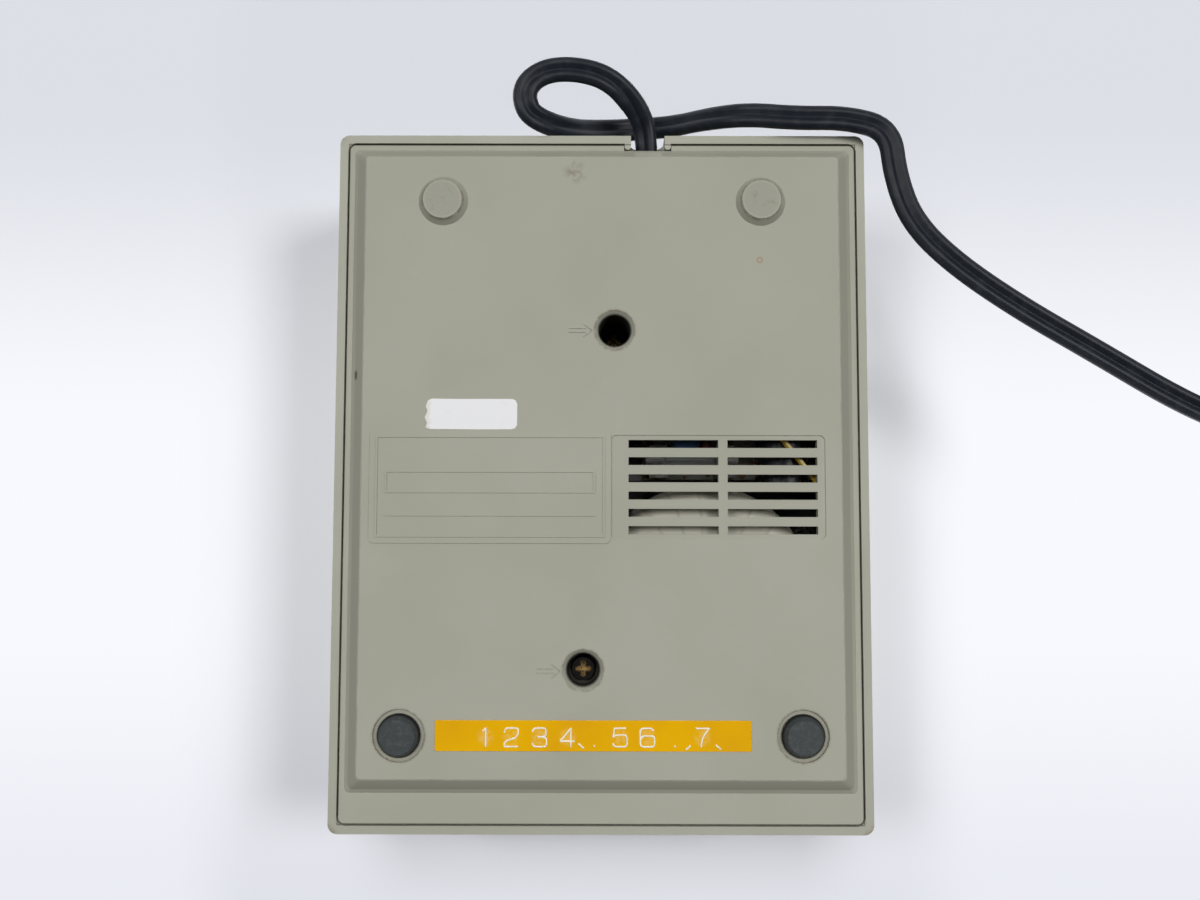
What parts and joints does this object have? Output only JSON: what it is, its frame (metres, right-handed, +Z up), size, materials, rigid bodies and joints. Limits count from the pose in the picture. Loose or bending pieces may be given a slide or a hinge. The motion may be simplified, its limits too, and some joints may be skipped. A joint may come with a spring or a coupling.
{
  "type": "cassette winder eraser",
  "caption": "Table-top box that winds and erases a tape cassette: lidded well with a fixed magnet and driven spindle, press keys, vented screwed bottom on feet, mains cord.",
  "frame": {"origin": "middle of the box's four walls, at the height of the surface it stands on", "axes": "+Z up from the feet to the keys, +Y to the rear wall where the cord leaves, -Y to the front"},
  "size_m": [0.2785, 0.1659, 0.0515],
  "materials": {
    "body_plastic": "fine grained warm grey beige",
    "deck_plastic": "fine grained black",
    "key_plastic": "satin black",
    "smoked_window": "clear smoked",
    "foot_rubber": "near black, slightly worn",
    "screw_black": "blackened, worn to brass colour at the recess",
    "steel": "zinc plated sheet and wire",
    "spindle_plastic": "off-white moulding",
    "brass": "turned",
    "motor_steel": "drawn can, nickel plated",
    "belt_rubber": "matte",
    "core_tape": "wrapped cream tape, varnished",
    "board": "bare brown laminate",
    "black_sleeve": "shrunk sleeve",
    "blue_dip": "dipped",
    "resistor_body": "banded lacquer",
    "fuse_glass": "clear tube with metal ends",
    "tinned": "tinned spring metal",
    "lead_yellow": "insulated wire",
    "laminations": "stacked laminations",
    "copper_tape": "enamelled wire under yellow tape",
    "pilot_red": "clear red lens",
    "lamp_glass": "small glass bulb",
    "cord_black": "matte flexible sheath",
    "plug_black": "moulded",
    "blade_metal": "stamped, nickel worn thin"
  },
  "bodies": {
    "box": {"bottom_cover": "body_plastic", "top_cover": "body_plastic", "rubber_feet": "foot_rubber", "cover_screws": "screw_black", "cassette_deck": "deck_plastic", "deck_screws": "steel", "lid_hinge_pin": "steel", "chassis_plate": "steel", "chassis_screws": "steel", "spindle_shafts": "steel", "spindle_washers": "spindle_plastic", "drive_belt": "belt_rubber", "motor_can": "motor_steel", "motor_screws": "steel", "mains_transformer": "core_tape", "transformer_plate": "steel", "transformer_bolt": "steel", "transformer_leads": "lead_yellow", "circuit_board": "board", "board_spacers": "steel", "board_screws": "steel", "reservoir_capacitor": "black_sleeve", "film_capacitor": "blue_dip", "resistors": "resistor_body", "rectifier_diodes": "black_sleeve", "fuse": "fuse_glass", "fuse_clips": "tinned", "magnet_core": "laminations", "magnet_winding": "copper_tape", "magnet_screws": "steel", "key_shaft": "steel", "key_bracket": "steel", "bracket_screws": "steel", "start_spring": "steel", "stop_spring": "steel", "leaf_switches": "tinned", "pilot_lens": "pilot_red", "pilot_lamp": "lamp_glass", "cord_clamp": "deck_plastic", "clamp_screws": "steel", "power_cord": "cord_black", "cord_coil": "cord_black", "cord_tie": "cord_black", "plug_body": "plug_black", "plug_blades": "blade_metal"},
    "lid": {"lid_frame": "body_plastic", "lid_window": "smoked_window"},
    "takeup": {"takeup_spindle": "spindle_plastic"},
    "supply": {"supply_spindle": "spindle_plastic"},
    "motor_rotor": {"motor_shaft": "steel", "motor_pulley": "brass"},
    "start": {"start_key": "key_plastic"},
    "stop": {"stop_key": "key_plastic"}
  },
  "joints": [
    {"name": "lid_hinge", "type": "hinge", "parent": "box", "child": "lid", "pos_m": [0, 0.0668, 0.0468], "axis": [-1, 0, 0], "range_deg": [0, 95]},
    {"name": "start_key_press", "type": "hinge", "parent": "box", "child": "start", "pos_m": [0, -0.031, 0.04], "axis": [1, 0, 0], "range_deg": [0, 6], "stiffness_Nm_per_rad": 0.6, "springref_deg": -3.44, "deforming": ["start_spring"]},
    {"name": "stop_key_press", "type": "hinge", "parent": "box", "child": "stop", "pos_m": [0, -0.031, 0.04], "axis": [1, 0, 0], "range_deg": [0, 6], "stiffness_Nm_per_rad": 0.6, "springref_deg": -3.44, "deforming": ["stop_spring"]},
    {"name": "takeup_spin", "type": "hinge", "parent": "box", "child": "takeup", "pos_m": [0.02125, 0.0312, 0.03], "axis": [0, 0, 1], "continuous": true},
    {"name": "supply_spin", "type": "hinge", "parent": "box", "child": "supply", "pos_m": [-0.02125, 0.0312, 0.03], "axis": [0, 0, 1], "continuous": true},
    {"name": "motor_spin", "type": "hinge", "parent": "box", "child": "motor_rotor", "pos_m": [0.027, -0.003, 0.03], "axis": [0, 0, 1], "continuous": true}
  ],
  "couplings": [
    {"joint": "motor_spin", "follows": "takeup_spin", "ratio": 4}
  ]
}
